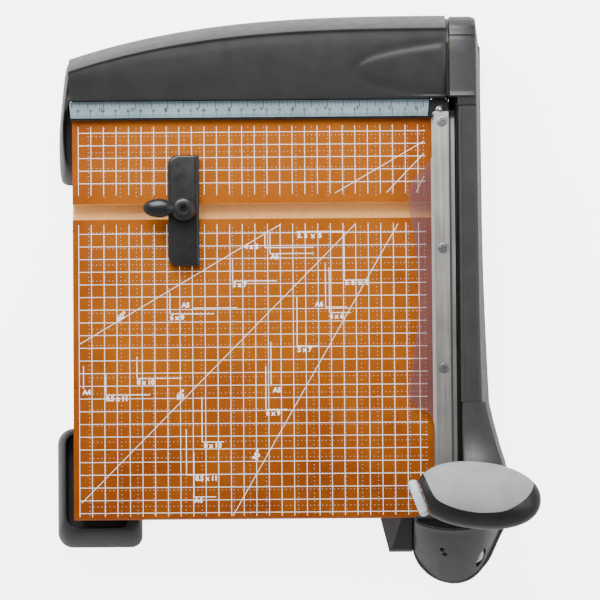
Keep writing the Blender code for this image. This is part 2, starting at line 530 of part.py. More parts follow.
def paper_guide():
    """The sliding guide, its T-nut and stud in the groove, and the clamp knob with its wing."""
    low_x, high_x = GUIDE_X - GUIDE_WIDTH / 2, GUIDE_X + GUIDE_WIDTH / 2
    front, rear = GUIDE_Y - GUIDE_LENGTH / 2, GUIDE_Y + GUIDE_LENGTH / 2
    plan = rounded(low_x, high_x, front, rear, (8, 1, 1, 8))
    rail = prism("guide_rail", plan, BOARD_TOP + 0.4, 51.5, BLACK)
    drill(rail, [(GUIDE_X, GUIDE_Y)], 3.5, 40, 55)
    half = TEE_WIDTH / 2 - 0.6
    box("guide_nut", (GUIDE_X - 11, GROOVE_Y - half, 34.2), (GUIDE_X + 11, GROOVE_Y + half, 37.6), ZINC)
    cylinder("guide_stud", (GUIDE_X, GUIDE_Y, 37.9), 3.0, 17.0, ZINC)
    profile = [(0, 9.5), (7.5, 9.5), (9.8, 7.5), (9.8, 0.0), (3.4, 0.0), (3.4, 3.6), (0, 3.6)]
    knob = turned("clamp_knob", profile, (GUIDE_X, GUIDE_Y, KNOB_BOTTOM), BLACK, sides=28)
    bm = bmesh.new()
    wing = Matrix.Translation((-19.0, 1.0, 7.0)) @ Matrix.Diagonal((13.0, 7.4, 5.2, 1.0))
    bmesh.ops.create_uvsphere(bm, u_segments=20, v_segments=10, radius=1.0, matrix=wing)
    lobe = finish_mesh(bm, "knob_wing", BLACK, cutters)
    lobe.location = Vector((GUIDE_X, GUIDE_Y, KNOB_BOTTOM)) * MM
    boolean(knob, lobe, "UNION")


board_and_knife()
fence_and_ruler()
head_cover()
feet()
pod()
guard()
hinge()
arm()
handle()
paper_guide()
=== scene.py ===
"""Looks for the guillotine paper cutter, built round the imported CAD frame."""
import json
import math

import bmesh
import bpy
from mathutils import Euler, Matrix, Vector


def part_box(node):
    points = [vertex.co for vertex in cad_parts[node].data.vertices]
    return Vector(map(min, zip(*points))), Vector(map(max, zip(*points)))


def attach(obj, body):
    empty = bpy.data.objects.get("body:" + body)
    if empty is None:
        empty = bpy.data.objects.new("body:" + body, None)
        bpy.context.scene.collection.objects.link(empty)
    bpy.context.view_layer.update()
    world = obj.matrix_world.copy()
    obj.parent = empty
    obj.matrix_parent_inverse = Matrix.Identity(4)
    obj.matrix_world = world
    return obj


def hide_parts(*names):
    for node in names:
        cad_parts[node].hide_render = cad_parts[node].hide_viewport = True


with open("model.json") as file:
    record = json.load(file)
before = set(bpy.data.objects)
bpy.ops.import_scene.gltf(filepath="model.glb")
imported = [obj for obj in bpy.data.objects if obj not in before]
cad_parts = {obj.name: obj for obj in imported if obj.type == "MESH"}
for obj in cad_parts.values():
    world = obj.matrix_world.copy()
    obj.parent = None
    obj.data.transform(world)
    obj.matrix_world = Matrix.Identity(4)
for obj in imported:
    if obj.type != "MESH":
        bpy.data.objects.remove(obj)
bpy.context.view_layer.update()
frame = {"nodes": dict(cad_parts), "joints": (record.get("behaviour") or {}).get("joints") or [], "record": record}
MM = 0.001

# ---- Places, in mm, read from the frame ----


def span(node):
    """A CAD node's lowest and highest corners in mm."""
    low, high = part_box(node)
    return [v / MM for v in low], [v / MM for v in high]


BOARD_LOW, BOARD_HIGH = span("work_board")
FENCE_LOW = span("fence_bar")[0]
RULER_LOW, RULER_HIGH = span("ruler_strip")
KNIFE_LOW, KNIFE_HIGH = span("bed_knife")
HEAD_LOW, HEAD_HIGH = span("rear_head_cover")
HUB_LOW, HUB_HIGH = span("arm_head_cover")
ARM_LOW, ARM_HIGH = span("arm_cover")
BAR_LOW = span("guard_bar")[0]
POD_LOW, POD_HIGH = span("pod_shell")
BASE_HIGH = span("pod_base")[1]
RAIL_LOW, RAIL_HIGH = span("guide_rail")
KNOB_LOW, KNOB_HIGH = span("clamp_knob")
FOOT_LOW, FOOT_HIGH = span("front_left_foot")
CUT_X, TOP = KNIFE_HIGH[0], BOARD_HIGH[2]
ZERO_Y = FENCE_LOW[1] + 0.4            # the print counts forward from here, and left from CUT_X
ROW = 10.11                             # printed row spacing
INCH = 25.4
NODES = frame["nodes"]
JOINTS = {joint["name"]: joint for joint in frame["joints"]}

# ---- Materials ----


class Graph:
    """A short way to write a material's nodes."""

    def __init__(self, name):
        self.material = bpy.data.materials.new(name)
        self.material.use_nodes = True
        self.tree = self.material.node_tree
        self.shader = self.tree.nodes["Principled BSDF"]
        self.output = self.tree.nodes["Material Output"]
        self.place = self.node("TexCoord").outputs["Object"]

    def node(self, kind, **settings):
        made = self.tree.nodes.new("ShaderNode" + kind)
        for key, value in settings.items():
            setattr(made, key, value)
        return made

    def link(self, source, target):
        """Give an input a value, or another node's output."""
        if hasattr(source, "is_output"):
            self.tree.links.new(source, target)
        else:
            target.default_value = source

    def math(self, operation, *values):
        made = self.node("Math", operation=operation)
        for index, value in enumerate(values):
            self.link(value, made.inputs[index])
        return made.outputs[0]

    def noise(self, scale, detail=4.0, stretch=(1, 1, 1), rough=0.55):
        """Noise over the piece; scale is in repeats per metre."""
        mapping = self.node("Mapping")
        mapping.inputs["Scale"].default_value = stretch
        self.link(self.place, mapping.inputs["Vector"])
        made = self.node("TexNoise")
        made.inputs["Scale"].default_value = scale
        made.inputs["Detail"].default_value = detail
        made.inputs["Roughness"].default_value = rough
        self.link(mapping.outputs[0], made.inputs["Vector"])
        return made.outputs["Fac"]

    def remap(self, value, low, high, to_low=0.0, to_high=1.0, smooth=False):
        made = self.node("MapRange", clamp=True)
        if smooth:
            made.interpolation_type = "SMOOTHSTEP"
        for index, item in enumerate((value, low, high, to_low, to_high)):
            self.link(item, made.inputs[index])
        return made.outputs[0]

    def mix(self, factor, first, second):
        """Blend two colours."""
        made = self.node("Mix", data_type="RGBA")
        self.link(factor, made.inputs[0])
        for item, target in ((first, made.inputs[6]), (second, made.inputs[7])):
            self.link(item if hasattr(item, "is_output") else (*item, 1.0), target)
        return made.outputs[2]

    def axis(self, name):
        """One coordinate of the place, in metres."""
        made = self.node("SeparateXYZ")
        self.link(self.place, made.inputs[0])
        return made.outputs[name]

    def bump(self, height, strength, distance, normal=None):
        made = self.node("Bump")
        made.inputs["Strength"].default_value = strength
        made.inputs["Distance"].default_value = distance
        self.link(height, made.inputs["Height"])
        if normal is not None:
            self.link(normal, made.inputs["Normal"])
        return made.outputs[0]

    def wear(self, low=0.52, high=0.6):
        """How strongly a spot is an outer edge."""
        geometry = self.node("NewGeometry")
        return self.remap(geometry.outputs["Pointiness"], low, high)

    def finish(self, colour, rough, bump=None, **sockets):
        base = colour if hasattr(colour, "is_output") else (*colour, 1.0)
        self.link(base, self.shader.inputs["Base Color"])
        self.link(rough, self.shader.inputs["Roughness"])
        if bump is not None:
            self.link(bump, self.shader.inputs["Normal"])
        for key, value in sockets.items():
            self.shader.inputs[key.replace("_", " ")].default_value = value
        return self.material


def shade(colour, gain, lift=0.0):
    """A colour made darker or lighter."""
    return [min(1.0, c * gain + lift) for c in colour]


def plastic(name, colour, rough, grain=0.35, worn=0.25, scale=2600.0):
    """Moulded plastic: a fine spark-eroded grain, faint mottling, and paler rubbed edges."""
    g = Graph(name)
    mottle = g.remap(g.noise(45.0, 3.0), 0.3, 0.7)
    body = g.mix(mottle, shade(colour, 0.88), shade(colour, 1.16, 0.002))
    rubbed = g.math("MULTIPLY", g.wear(), g.remap(g.noise(160.0, 5.0), 0.4, 0.65, 0.0, worn))
    body = g.mix(rubbed, body, shade(colour, 2.2, 0.02))
    shine = g.remap(g.noise(120.0, 4.0), 0.3, 0.7, rough - 0.05, rough + 0.06)
    fine = g.bump(g.noise(scale, 2.0), grain, 0.00006)
    soft = g.bump(g.noise(18.0, 2.0), 0.05, 0.002, fine)
    return g.finish(body, shine, soft, IOR=1.5)


def metal(name, colour, rough, along, worn=0.5, streaks=900.0, front_shade=0.0, ground=0.0, bands=()):
    """Metal streaked along one axis; it may be painted darker to the front, as painted shade.

    It may also be painted dark as shade above a height, keeping bright steel below it, or have bands of painted
    shade across X, all in mm.
    """
    g = Graph(name)
    stretch = [1.0, 1.0, 1.0]
    stretch[along] = 0.012
    lines = g.noise(streaks, 6.0, stretch, 0.7)
    cloud = g.noise(28.0, 4.0)
    body = g.mix(g.remap(cloud, 0.3, 0.7), shade(colour, 0.86), shade(colour, 1.1))
    body = g.mix(g.math("MULTIPLY", g.wear(0.51, 0.58), worn), body, shade(colour, 1.5))
    # Painted shade: the colour darkens toward the front, away from the rear light.
    if front_shade:
        far = g.math("MULTIPLY", g.remap(g.axis("Y"), -170.0 * MM, 150.0 * MM, 1.0, 0.0), front_shade)
        body = g.mix(far, body, shade(colour, 0.35))
    # Painted shade: each band darkens the colour by its tone over a span of X.
    for left, right, tone in bands:
        inside = g.math("MULTIPLY", g.remap(g.axis("X"), (left - 0.3) * MM, left * MM),
                        g.remap(g.axis("X"), right * MM, (right + 0.3) * MM, 1.0, 0.0))
        body = g.mix(inside, body, shade(colour, tone))
    # Painted shade: above this height the colour stays dark for the shaded gap; below it the steel shows its own
    # bright grey.
    if ground:
        bright = g.remap(g.axis("Z"), ground * MM, (ground + 0.6) * MM, 1.0, 0.0)
        body = g.mix(bright, body, (0.55, 0.55, 0.54))
    shine = g.math("ADD", g.remap(lines, 0.25, 0.75, rough - 0.08, rough + 0.1),
                   g.remap(cloud, 0.35, 0.65, -0.03, 0.04))
    return g.finish(body, shine, g.bump(lines, 0.12, 0.00008), Metallic=1.0)


def laminate():
    """The board: orange laminate with faint mottling, redder to its rim, and bare fibre where it is cut."""
    g = Graph("board_laminate")
    x, y, z = (g.axis(name) for name in "XYZ")
    left = g.remap(x, BOARD_LOW[0] * MM, (BOARD_LOW[0] + 55) * MM, 1.0, 0.0, True)
    right = g.remap(x, (KNIFE_LOW[0] - 60) * MM, KNIFE_LOW[0] * MM, 0.0, 1.0, True)
    front = g.remap(y, (BOARD_LOW[1] + 5) * MM, (BOARD_LOW[1] + 170) * MM, 1.0, 0.0, True)
    rim = g.math("MAXIMUM", g.math("MULTIPLY", g.math("MAXIMUM", left, right), 0.62),
                 g.math("MULTIPLY", front, 0.85))
    patch = g.remap(g.noise(26.0, 4.0), 0.35, 0.68, -0.3, 0.3)
    red = g.remap(g.math("ADD", rim, patch), 0.0, 1.0)
    wood = g.mix(red, (0.37, 0.092, 0.0004), (0.225, 0.038, 0.0004))
    fleck = g.noise(900.0, 5.0, (1.0, 0.5, 1.0), 0.7)
    wood = g.mix(g.remap(fleck, 0.42, 0.7, 0.0, 0.28), wood, (0.50, 0.15, 0.002))
    wood = g.mix(g.remap(g.noise(340.0, 6.0), 0.5, 0.72, 0.0, 0.22), wood, (0.16, 0.032, 0.001))
    step, pitch = INCH / 2 * MM, INCH / 8 * MM
    stretch = 0.1 * ROW
    across_x = g.math("SUBTRACT", CUT_X * MM, x)
    across_y = g.math("DIVIDE", g.math("SUBTRACT", ZERO_Y * MM, y), stretch)
    columns, rows = (g.math("PINGPONG", place, step / 2) for place in (across_x, across_y))
    spot_x, spot_y = (g.math("PINGPONG", place, pitch / 2) for place in (across_x, across_y))
    dots = []
    for across, along in ((columns, spot_y), (rows, spot_x)):
        reach = g.math("SQRT", g.math("ADD", g.math("POWER", across, 2.0), g.math("POWER", along, 2.0)))
        dots.append(g.remap(reach, 0.27 * MM, 0.37 * MM, 1.0, 0.0))
    dot = g.math("MAXIMUM", *dots)
    inside = [g.math("GREATER_THAN", x, (CUT_X - 293.0) * MM), g.math("LESS_THAN", x, (CUT_X - 24.6) * MM),
              g.math("GREATER_THAN", y, (BOARD_LOW[1] + 3.0) * MM),
              g.math("LESS_THAN", y, (ZERO_Y - 5.0) * MM)]
    middle = (span("guide_nut")[0][1] + span("guide_nut")[1][1]) / 2
    off_groove = g.math("ABSOLUTE", g.math("SUBTRACT", y, middle * MM))
    clear = g.math("GREATER_THAN", off_groove, 10.5 * MM)
    for test in inside + [clear]:
        dot = g.math("MULTIPLY", dot, test)
    ink = g.math("MULTIPLY", dot, g.remap(g.noise(700.0, 3.0), 0.3, 0.6, 0.6, 0.95))
    face = g.mix(ink, wood, (0.86, 0.78, 0.68))
    fibre = g.noise(1500.0, 5.0, (0.15, 1.0, 1.0), 0.7)
    core = g.mix(g.remap(fibre, 0.3, 0.7), (0.86, 0.47, 0.17), (1.0, 0.68, 0.30))
    wall = g.math("LESS_THAN", z, (TOP - 1.1) * MM)
    slot = g.math("LESS_THAN", off_groove, 12.0 * MM)
    edge = g.mix(g.remap(fibre, 0.3, 0.7), (0.30, 0.075, 0.02), (0.36, 0.11, 0.03))
    sides = g.mix(slot, edge, core)
    colour = g.mix(wall, face, sides)
    shine = g.remap(g.math("ADD", g.noise(60.0, 4.0), g.math("MULTIPLY", wall, 0.5)), 0.3, 1.1, 0.36, 0.8)
    skin = g.bump(fleck, 0.12, 0.00005)
    return g.finish(colour, shine, skin, IOR=1.25)


def guard_acrylic():
    """Clear smoked acrylic: a tinted see-through sheet with a glossy, faintly hazy face."""
    g = Graph("guard_acrylic")
    haze = g.noise(40.0, 4.0)
    # Painted highlight: a pale, more solid strip on the sheet beside the bar, standing in for light glinting
    # there.
    rim = g.remap(g.axis("X"), (BAR_LOW[0] - 2.9) * MM, (BAR_LOW[0] - 2.4) * MM)
    tint = g.mix(haze, (0.42, 0.30, 0.36), (0.50, 0.38, 0.44))
    g.finish(g.mix(rim, tint, (0.56, 0.55, 0.53)), g.remap(haze, 0.3, 0.7, 0.08, 0.16),
             g.bump(g.noise(60.0, 2.0), 0.05, 0.001), IOR=1.49)
    clear = g.node("BsdfTransparent")
    clear.inputs["Color"].default_value = (0.85, 0.80, 0.82, 1.0)
    blend = g.node("MixShader")
    solid = g.math("MAXIMUM", g.remap(haze, 0.3, 0.7, 0.07, 0.10), g.math("MULTIPLY", rim, 0.6))
    g.link(solid, blend.inputs[0])
    g.link(clear.outputs[0], blend.inputs[1])
    g.link(g.shader.outputs[0], blend.inputs[2])
    g.link(blend.outputs[0], g.output.inputs["Surface"])
    return g.material


def ink(name, colour, rough=0.55, lift=0.0):
    """Screen print, slightly uneven in cover; lift makes it glow, painted light that brightens it though it is no
    lamp.
    """
    g = Graph(name)
    cover = g.remap(g.noise(900.0, 4.0), 0.25, 0.6)
    return g.finish(g.mix(cover, shade(colour, 0.82), colour),
                    g.remap(cover, 0, 1, rough + 0.1, rough), Emission_Color=(1.0, 0.98, 0.95, 1.0),
                    Emission_Strength=lift)


LOOK = {
    "board": laminate(),
    # Ground steel, painted darker to the front as painted shade.
    "steel": metal("ground_steel", (0.56, 0.55, 0.51), 0.34, 1, front_shade=0.6),
    # The knife's bands are painted shade: a painted shadow beside the guard bar, and a near-black strip at the
    # cutting edge for the shaded gap to the blade.
    "knife": metal("knife_steel", (0.66, 0.65, 0.61), 0.36, 1, 0.0, front_shade=0.4,
                   bands=((CUT_X - 5.5, CUT_X - 3.8, 0.42), (CUT_X - 0.7, CUT_X + 1.2, 0.03))),
    # The blade's near-black colour is painted shade for the deep gap beside the cutting edge.
    "blade": metal("blade_steel_painted_shade", (0.022, 0.022, 0.024), 0.38, 1, 0.0, ground=38.5),
    "zinc": metal("zinc_plate", (0.30, 0.30, 0.31), 0.30, 2, 0.4, 500.0),
    "housing": plastic("housing_plastic", (0.026, 0.026, 0.027), 0.42),
    "black": plastic("black_plastic", (0.0075, 0.0070, 0.0082), 0.30, 0.15, 0.15, 1500.0),
    "ruler": plastic("ruler_face", (0.23, 0.33, 0.37), 0.42, 0.1, 0.1),
    "guard": guard_acrylic(),
    "pad": plastic("grip_pad_soft", (0.34, 0.342, 0.345), 0.55, 0.6, 0.05, 2200.0),
    "pale": plastic("pale_plastic", (0.62, 0.72, 0.80), 0.38, 0.2, 0.1),
    "rubber": plastic("foot_rubber", (0.016, 0.016, 0.016), 0.8, 0.6, 0.1, 1200.0),
    "cell": plastic("cell_jacket", (0.45, 0.30, 0.07), 0.3, 0.05, 0.1),
    "brass": metal("turned_brass", (0.62, 0.44, 0.17), 0.32, 0, 0.4, 700.0),
    # The white ink glows a little: painted light, so the print reads brighter.
    "white_ink": ink("white_ink", (0.96, 0.93, 0.88), lift=0.55),
    "dark_ink": ink("dark_ink", (0.035, 0.075, 0.10)),
}
SLOT_OF = {row["node"]: row["material_slot"] for row in frame["record"]["subparts"]}

# ---- Mesh helpers ----


def add(name, data):
    """A new object in the scene."""
    made = bpy.data.objects.new(name, data)
    bpy.context.scene.collection.objects.link(made)
    return made


def evaluated(item):
    """A new mesh of an object as it is shown."""
    bpy.context.view_layer.update()
    return bpy.data.meshes.new_from_object(item.evaluated_get(bpy.context.evaluated_depsgraph_get()))


def make_object(bm, name):
    """Put a bmesh in mm into the scene, with its faces turned outward."""
    bmesh.ops.scale(bm, vec=(MM, MM, MM), verts=bm.verts)
    bmesh.ops.recalc_face_normals(bm, faces=bm.faces)
    mesh = bpy.data.meshes.new(name)
    bm.to_mesh(mesh)
    bm.free()
    return add(name, mesh)


def finish_mesh(bm, name, look, body, node=None, smooth=40.0):
    """Make a piece from a bmesh in mm, and give it its finish, its body and the CAD node it replaces."""
    piece = make_object(bm, name)
    piece.data.materials.append(LOOK[look])
    piece.data.shade_smooth()
    piece.data.set_sharp_from_angle(angle=math.radians(smooth))
    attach(piece, body)
    # Printing belongs to the material that carries it.
    if node:
        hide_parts(node)
    return piece


def bevel(piece, width, segments=3, angle=40):
    """Round a piece's sharp edges."""
    rounding = piece.modifiers.new("edges", "BEVEL")
    rounding.width = width * MM
    rounding.segments = segments
    rounding.limit_method = "ANGLE"
    rounding.angle_limit = math.radians(angle)
    rounding.harden_normals = True


def bridge(bm, first, second, closed=True):
    """Faces between two rows of vertices."""
    count = len(first)
    for i in range(count if closed else count - 1):
        j = (i + 1) % count
        bm.faces.new((first[i], first[j], second[j], second[i]))


def loft(sections, caps=True):
    """A bmesh through closed sections with the same number of points."""
    bm = bmesh.new()
    rows = [[bm.verts.new(point) for point in section] for section in sections]
    for first, second in zip(rows, rows[1:]):
        bridge(bm, first, second)
    if caps:
        bm.faces.new(rows[0])
        bm.faces.new(list(reversed(rows[-1])))
    return bm


def ring_loft(outline_at, levels):
    """A closed form from an outline function, given (inset, z) levels from the first to the last."""
    return loft([[(x, y, z) for x, y in outline_at(inset)] for inset, z in levels])


def upright(outline, levels):
    """A bmesh with the same plan outline at every level."""
    return loft([[(x, y, z) for x, y in outline] for z in levels])


def lengthwise(section, places):
    """A bmesh with the same section, in X and Z, at every place along Y."""
    return loft([[(x, y, z) for x, z in section] for y in places])


def arc(centre, radius, start, end, steps=8):
    """Points on an arc, angles in degrees."""
    return [(centre[0] + radius * math.cos(math.radians(start + (end - start) * i / steps)),
             centre[1] + radius * math.sin(math.radians(start + (end - start) * i / steps)))
            for i in range(steps + 1)]


def rounded(left, right, front, rear, radii, steps=8):
    """A rectangle with radii at its front left, front right, rear right and rear left."""
    fl, fr, rr, rl = (max(r, 0.05) for r in radii)
    return (arc((left + fl, front + fl), fl, 180, 270, steps)
            + arc((right - fr, front + fr), fr, 270, 360, steps)
            + arc((right - rr, rear - rr), rr, 0, 90, steps)
            + arc((left + rl, rear - rl), rl, 90, 180, steps))


def smooth_line(points, steps=8):
    """A Catmull-Rom curve through points of any dimension."""
    line = []
    for i in range(len(points) - 1):
        a, b = points[max(i - 1, 0)], points[i]
        c, d = points[i + 1], points[min(i + 2, len(points) - 1)]
        for step in range(steps):
            t = step / steps
            line.append(tuple(0.5 * (2 * q + (r - p) * t + (2 * p - 5 * q + 4 * r - s) * t * t
                                     + (3 * q - p - 3 * r + s) * t ** 3)
                              for p, q, r, s in zip(a, b, c, d)))
    return line + [tuple(points[-1])]


def carve(piece, *forms, operation="DIFFERENCE"):
    """Cut a piece with bmeshes in mm, or join or cross it with them."""
    tools = [make_object(bm, "tool") for bm in forms]
    for tool in tools:
        change = piece.modifiers.new("cut", "BOOLEAN")
        change.operation = operation
        change.object = tool
        change.solver = "EXACT"
    mesh, old = evaluated(piece), piece.data
    piece.modifiers.clear()
    piece.data = mesh
    bpy.data.meshes.remove(old)
    for tool in tools:
        bpy.data.objects.remove(tool)
    mesh.set_sharp_from_angle(angle=math.radians(35))


def rod(start, radius, length, turn=0.0):
    """A bmesh cylinder from the middle of its first end, upright or turned back about X."""
    bm = bmesh.new()
    place = Matrix.Translation(start) @ Matrix.Rotation(turn, 4, "X") @ Matrix.Translation((0, 0, length / 2))
    bmesh.ops.create_cone(bm, cap_ends=True, segments=48, radius1=radius, radius2=radius, depth=length,
                          matrix=place)
    return bm


def block(low, high):
    """A bmesh box."""
    bm = bmesh.new()
    middle = (Vector(low) + Vector(high)) / 2
    bmesh.ops.create_cube(bm, size=1.0, matrix=Matrix.Translation(middle)
                          @ Matrix.Diagonal((*(Vector(high) - Vector(low)), 1.0)))
    return bm


def spun(profile, centre, sides=48):
    """A bmesh turned about Z from a profile of (radius, height) that starts and ends on the axis."""
    bm = bmesh.new()
    place = Matrix.Translation(centre)
    rows = []
    for radius, height in profile:
        if radius < 1e-6:
            rows.append([bm.verts.new(place @ Vector((0, 0, height)))])
            continue
        rows.append([bm.verts.new(place @ Vector((radius * math.cos(2 * math.pi * i / sides),
                                                  radius * math.sin(2 * math.pi * i / sides), height)))
                     for i in range(sides)])
    for first, second in zip(rows, rows[1:]):
        if len(first) == 1 or len(second) == 1:
            point, ring = (first[0], second) if len(first) == 1 else (second[0], first)
            for i in range(sides):
                bm.faces.new((point, ring[i], ring[(i + 1) % sides]))
        else:
            bridge(bm, first, second)
    return bm


# ---- Camera, light and floor ----


def studio():
    """A long lens almost straight above, a pale floor and soft light from the rear right."""
    scene = bpy.context.scene
    camera = add("camera", bpy.data.cameras.new("camera"))
    tilt, roll, reach = math.radians(6.0), math.radians(0.46), 6.0
    camera.data.lens, camera.data.sensor_width = 453.6, 36.0
    aim = Vector((0.0042, -0.002, TOP * MM))
    turn = Euler((tilt, 0.0, 0.0)).to_matrix() @ Matrix.Rotation(-roll, 3, "Z")
    camera.matrix_world = Matrix.Translation(aim + turn @ Vector((0, 0, reach))) @ turn.to_4x4()
    camera.data.clip_end = 20.0
    scene.camera = camera
    world = bpy.data.worlds.new("studio")
    scene.world = world
    world.use_nodes = True
    tree = world.node_tree
    backdrop = tree.nodes["Background"]
    place, split = tree.nodes.new("ShaderNodeTexCoord"), tree.nodes.new("ShaderNodeSeparateXYZ")
    fade = tree.nodes.new("ShaderNodeMapRange")
    fade.interpolation_type = "SMOOTHSTEP"
    for index, value in ((1, 0.25), (2, 0.95), (3, 0.9), (4, 0.35)):
        fade.inputs[index].default_value = value
    tree.links.new(place.outputs["Generated"], split.inputs[0])
    tree.links.new(split.outputs["Z"], fade.inputs[0])
    tree.links.new(fade.outputs[0], backdrop.inputs["Strength"])
    backdrop.inputs["Color"].default_value = (1.0, 1.0, 1.0, 1.0)
    lamps = (("key", (-0.25, 0.85, 0.8), 0.8, 23.0), ("fill", (1.1, 0.2, 1.3), 1.0, 6.0))
    for name, place, size, power in lamps:
        lamp = bpy.data.lights.new(name, "AREA")
        lamp.size, lamp.energy = size, power
        holder = add(name, lamp)
        holder.location = place
        holder.rotation_euler = (-Vector(place)).to_track_quat("-Z", "Y").to_euler()
    bm = bmesh.new()
    bmesh.ops.create_grid(bm, x_segments=1, y_segments=1, size=4000.0,
                          matrix=Matrix.Translation((0, 0, -0.4)))
    floor = make_object(bm, "floor")
    g = Graph("floor_paper")
    tone = g.mix(g.noise(3.0, 2.0), (0.86, 0.86, 0.86), (0.9, 0.9, 0.9))
    paper = g.finish(tone, 0.9)
    shader = paper.node_tree.nodes["Principled BSDF"]
    shader.inputs["Emission Color"].default_value = (1.0, 1.0, 1.0, 1.0)
    path = paper.node_tree.nodes.new("ShaderNodeLightPath")
    glow = g.math("MULTIPLY_ADD", path.outputs["Is Camera Ray"], 4.3)
    glow.node.inputs[2].default_value = 0.5
    g.link(glow, shader.inputs["Emission Strength"])
    floor.data.materials.append(paper)


# ---- Board, print and ruler ----


class Print:
    """Thin raised ink strokes and letters on a flat face."""

    def __init__(self, level):
        self.bm, self.level = bmesh.new(), level

    def stroke(self, start, end, width, lift=0.05):
        """A straight stroke, sunk a little into the face below it."""
        a, b = Vector((*start, 0.0)), Vector((*end, 0.0))
        side = Vector((a.y - b.y, b.x - a.x, 0.0)).normalized() * width / 2
        ring = (a + side, a - side, b - side, b + side)
        rows = [[self.bm.verts.new((p.x, p.y, self.level + h)) for p in ring] for h in (-0.03, lift)]
        bridge(self.bm, rows[0], rows[1])
        self.bm.faces.new(rows[0])
        self.bm.faces.new(list(reversed(rows[1])))

    def words(self, text, x, y, size, turn=0.0, bold=0.0, align="LEFT"):
        """Letters lying on the face."""
        curve = bpy.data.curves.new("words", "FONT")
        curve.body, curve.size, curve.align_x = text, size * MM, align
        curve.extrude, curve.offset, curve.resolution_u = 0.04 * MM, bold * MM, 3
        holder = add("words", curve)
        holder.matrix_world = (Matrix.Translation(Vector((x, y, self.level + 0.035)) * MM)
                               @ Matrix.Rotation(math.radians(turn), 4, "Z"))
        mesh = evaluated(holder)
        mesh.transform(Matrix.Scale(1 / MM, 4) @ holder.matrix_world)
        part = bmesh.new()
        part.from_mesh(mesh)
        bmesh.ops.remove_doubles(part, verts=part.verts, dist=0.0005)
        part.to_mesh(mesh)
        part.free()
        self.bm.from_mesh(mesh)
        bpy.data.meshes.remove(mesh)
        bpy.data.objects.remove(holder)
        bpy.data.curves.remove(curve)


def on_board(x, y):
    """A place on the board: to the left of the cut edge and forward of the fence, in mm."""
    return CUT_X - x, ZERO_Y - y


def board():
    """The board's edges are softened; its print has centimetre lines, angles and paper sizes."""
    bevel(NODES["work_board"], 1.0, 2)
    sheet = Print(TOP)
    thin, thick = 0.43, 0.6
    ends = (CUT_X - 300.3, CUT_X - 24.0)
    blocks = ((5.2, 60.0), (83.6, 316.2))            # behind the guide's groove, and in front of it
    columns, first_column, pitch = 28, 30.0, 10.0
    for k in range(columns):
        for first, last in blocks:
            x = CUT_X - first_column - pitch * k
            sheet.stroke((x, ZERO_Y - first), (x, ZERO_Y - last), thin)
    for k in list(range(1, 6)) + list(range(9, 32)):
        sheet.stroke((ends[0], ZERO_Y - ROW * k), (ends[1], ZERO_Y - ROW * k), thin, 0.055)
    # Angle lines, as (left of the cut edge, forward of the fence) end points.
    for start, end in (((299.4, 178.5), (139.2, 84.0)), ((298.4, 305.0), (80.0, 84.2)),
                       ((179.0, 316.2), (46.3, 84.5)), ((96.1, 59.5), (25.0, 18.4)),
                       ((55.2, 59.5), (25.1, 28.1)), ((31.7, 59.5), (25.2, 46.5))):
        sheet.stroke(on_board(*start), on_board(*end), thin, 0.06)
    for text, x, y, turn in (("60°", 269.0, 161.0, 31.0), ("45°", 221.0, 224.5, 45.0),
                             ("30°", 160.0, 273.0, 60.0)):
        sheet.words(text, *on_board(x, y), 6.4, turn, 0.22)
    # Paper sizes: corner, upright length, foot length, words, and where the words stand.
    marks = (((152.1, 102.8), 12.5, 38.9, "4 x 6", (168.5, 105.0)),
             ((148.1, 107.6), 17.0, 34.9, "A6", (147.5, 113.4)),
             ((126.6, 90.2), 0.0, 36.6, "3. 5  x  5", (126.4, 96.6)),
             ((89.3, 129.2), 39.2, 18.0, "3. 5  x  5", (89.0, 134.4)),
             ((178.0, 129.3), 17.0, 35.0, "5 x 7", (178.0, 135.4)),
             ((127.1, 181.5), 39.2, 17.5, "5 x 7", (126.8, 187.6)),
             ((209.6, 150.6), 0.0, 35.0, "A5", (218.5, 151.4)),
             ((227.8, 155.2), 17.0, 35.0, "6 x 9", (227.8, 161.4)),
             ((104.3, 150.6), 35.3, 17.0, "A6", (112.5, 151.4)),
             ((101.2, 155.1), 35.8, 17.0, "4 x 6", (101.2, 161.2)),
             ((254.3, 206.4), 17.2, 35.5, "8 x 10", (254.3, 212.6)),
             ((296.7, 214.4), 18.4, 0.0, "A4", (297.4, 220.4)),
             ((279.0, 219.4), 17.0, 35.0, "8.5 x 11", (279.0, 225.6)),
             ((203.0, 257.3), 35.0, 17.4, "8 x 10", (201.5, 263.4)),
             ((215.5, 283.4), 36.6, 17.8, "8.5 x 11", (208.5, 289.4)),
             ((209.7, 300.9), 35.7, 17.5, "A4", (209.5, 306.8)),
             ((148.0, 213.2), 35.1, 0.0, "A5", (146.5, 219.6)),
             ((152.2, 231.9), 34.7, 17.0, "6 x 9", (152.0, 238.0)))
    for corner, up, foot, text, at in marks:
        if up:
            sheet.stroke(on_board(*corner), on_board(corner[0], corner[1] - up), thick, 0.065)
        if foot:
            sheet.stroke(on_board(*corner), on_board(corner[0] - foot, corner[1]), thick, 0.07)
        sheet.words(text, *on_board(at[0], at[1] - 1.5), 5.4, 0.0, 0.21)
    finish_mesh(sheet.bm, "board_print", "white_ink", "frame")


